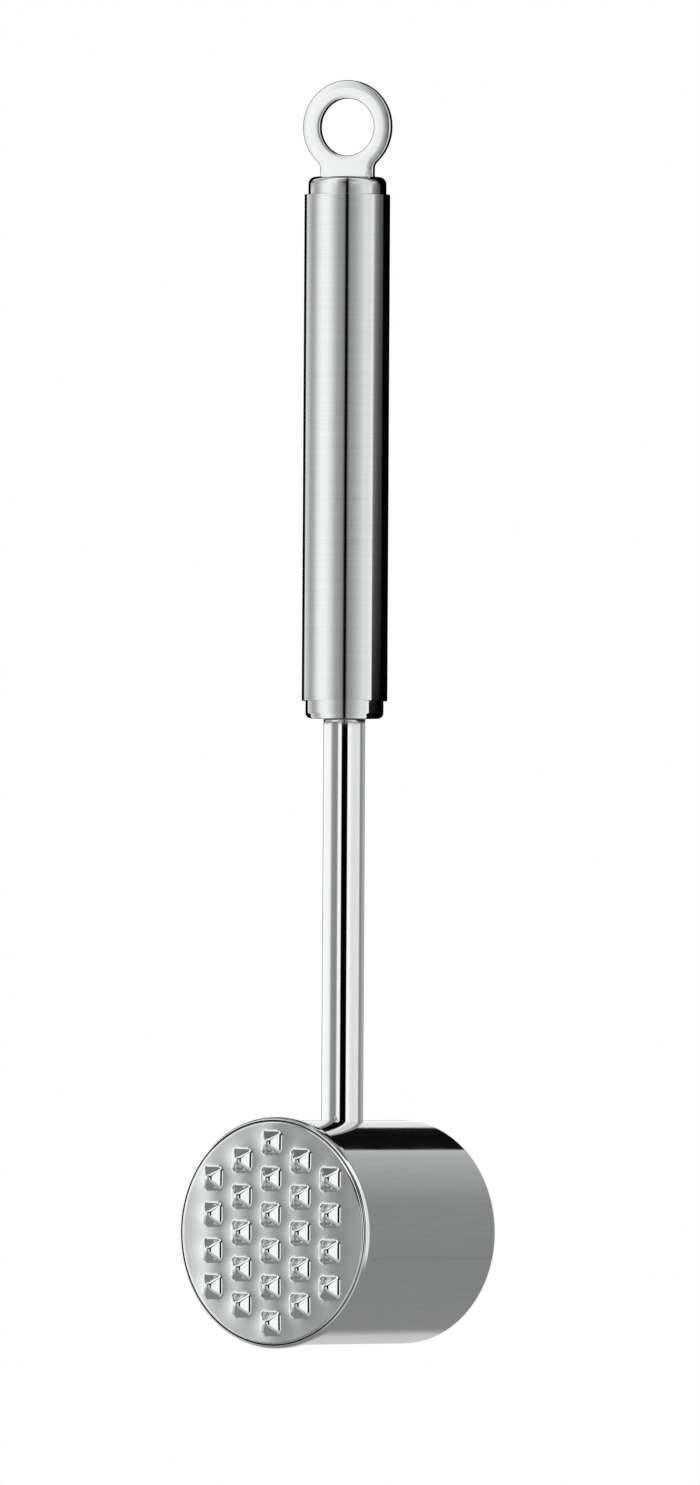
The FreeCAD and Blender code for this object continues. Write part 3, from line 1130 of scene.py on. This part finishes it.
@dataclass
class Studio:
    """The pale floor, the soft light, the far cards and the tent that the steel mirrors."""

    floor_level: float = -330.0
    floor_size: float = 3000.0
    floor_shade: tuple[float, float, float] = (0.86, 0.86, 0.86)
    floor_roughness: float = 0.9
    overhead_strength: float = 4.5
    overhead_width: float = 60.0

    def build(self) -> None:
        """Build the floor, the world, the light and the tent."""
        self._floor()
        self._world()
        self._soft_light()
        LightTent().build()
        bpy.context.scene.view_settings.view_transform = "Standard"

    def _floor(self) -> None:
        """Lay the plain pale floor under the hanging mallet."""
        bm = bmesh.new()
        level = Matrix.Translation((0, 0, self.floor_level / METRE))
        square(bm, self.floor_size / METRE / 2, level)
        material = bpy.data.materials.new("pale_floor")
        material.use_nodes = True
        shader = material.node_tree.nodes["Principled BSDF"]
        shader.inputs["Base Color"].default_value = (*self.floor_shade, 1)
        shader.inputs["Roughness"].default_value = self.floor_roughness
        floor = placed("studio_floor", mesh_from(bm, "studio_floor", material))
        floor.visible_glossy = False

    def _world(self) -> None:
        """Hang the far cards, and leave the backdrop white where it is seen directly."""
        world = bpy.data.worlds.new("white_studio")
        bpy.context.scene.world = world
        world.use_nodes = True
        tree = world.node_tree
        tree.nodes.clear()
        place = add_node(tree, "TexCoord", {}).outputs["Generated"]
        height = add_node(tree, "SeparateXYZ", {"Vector": place}).outputs["Z"]
        rise = add_math(tree, "DEGREES", add_math(tree, "ARCSINE", height))
        light = shade_ramp(tree, angle_round(tree, place, 0.0), HORIZON)
        for card in FAR_CARDS:
            light = card.cover(tree, place, rise, light)
        mirrored = add_node(tree, "Background", {"Color": light}).outputs["Background"]
        backdrop = add_node(tree, "Background", {"Color": WHITE}).outputs["Background"]
        seen = add_node(tree, "LightPath", {}).outputs["Is Camera Ray"]
        mix = add_node(tree, "MixShader", {"Fac": seen, 1: mirrored, 2: backdrop})
        add_node(tree, "OutputWorld", {"Surface": mix.outputs["Shader"]})

    def _soft_light(self) -> None:
        """Hang one broad soft light overhead, for the floor."""
        light = bpy.data.lights.new("overhead_softbox", "SUN")
        light.angle = math.radians(self.overhead_width)
        light.energy = self.overhead_strength
        lamp = placed("overhead_softbox", light)
        lamp.visible_glossy = False
        lamp.visible_camera = False


@dataclass
class LongLens:
    """A distant camera with a long lens, turned to the side of the studded face.

    Attributes:
        distance: Its distance from the mallet's axis in millimetres.
        level: Its own height.
        aim_level: The height at the middle of the picture.
        aim_side: How far to its right of the axis it aims.
        view_height: The height of the picture at the mallet.
        roll: Its roll in degrees.
        sensor: The height of its sensor.
        clip: The nearest and farthest that it sees, in metres.
    """

    distance: float = 5000.0
    level: float = -185.0
    aim_level: float = -129.3
    aim_side: float = 1.2
    view_height: float = 311.85
    roll: float = 0.33
    sensor: float = 36.0
    clip: tuple[float, float] = (0.1, 50.0)

    def build(self) -> None:
        """Build the camera and make it the scene's own."""
        turn = math.radians(CAMERA_TURN)
        away = Vector((math.sin(turn), -math.cos(turn), 0))
        right = Vector((math.cos(turn), math.sin(turn), 0))
        stand = away * self.distance + right * self.aim_side + Vector((0, 0, self.level))
        aim = right * self.aim_side + Vector((0, 0, self.aim_level))
        data = bpy.data.cameras.new("long_lens")
        data.sensor_fit = "VERTICAL"
        data.sensor_height = self.sensor
        data.lens = self.sensor * self.distance / self.view_height
        data.clip_start, data.clip_end = self.clip
        camera = placed("long_lens", data)
        look = (aim - stand).to_track_quat("-Z", "Y").to_matrix()
        tilt = Matrix.Rotation(math.radians(self.roll), 3, "Z")
        camera.matrix_world = Matrix.Translation(stand / METRE) @ (look @ tilt).to_4x4()
        bpy.context.scene.camera = camera


def main() -> None:
    """Build the mallet from the eye down, then the studio and the camera."""
    logging.basicConfig(level=logging.INFO, format="%(message)s")
    HangingEye().build()
    Handle().build()
    Shaft().build()
    Head().build()
    dress_hidden_nodes()
    Studio().build()
    LongLens().build()


if __name__ == "__main__":
    main()
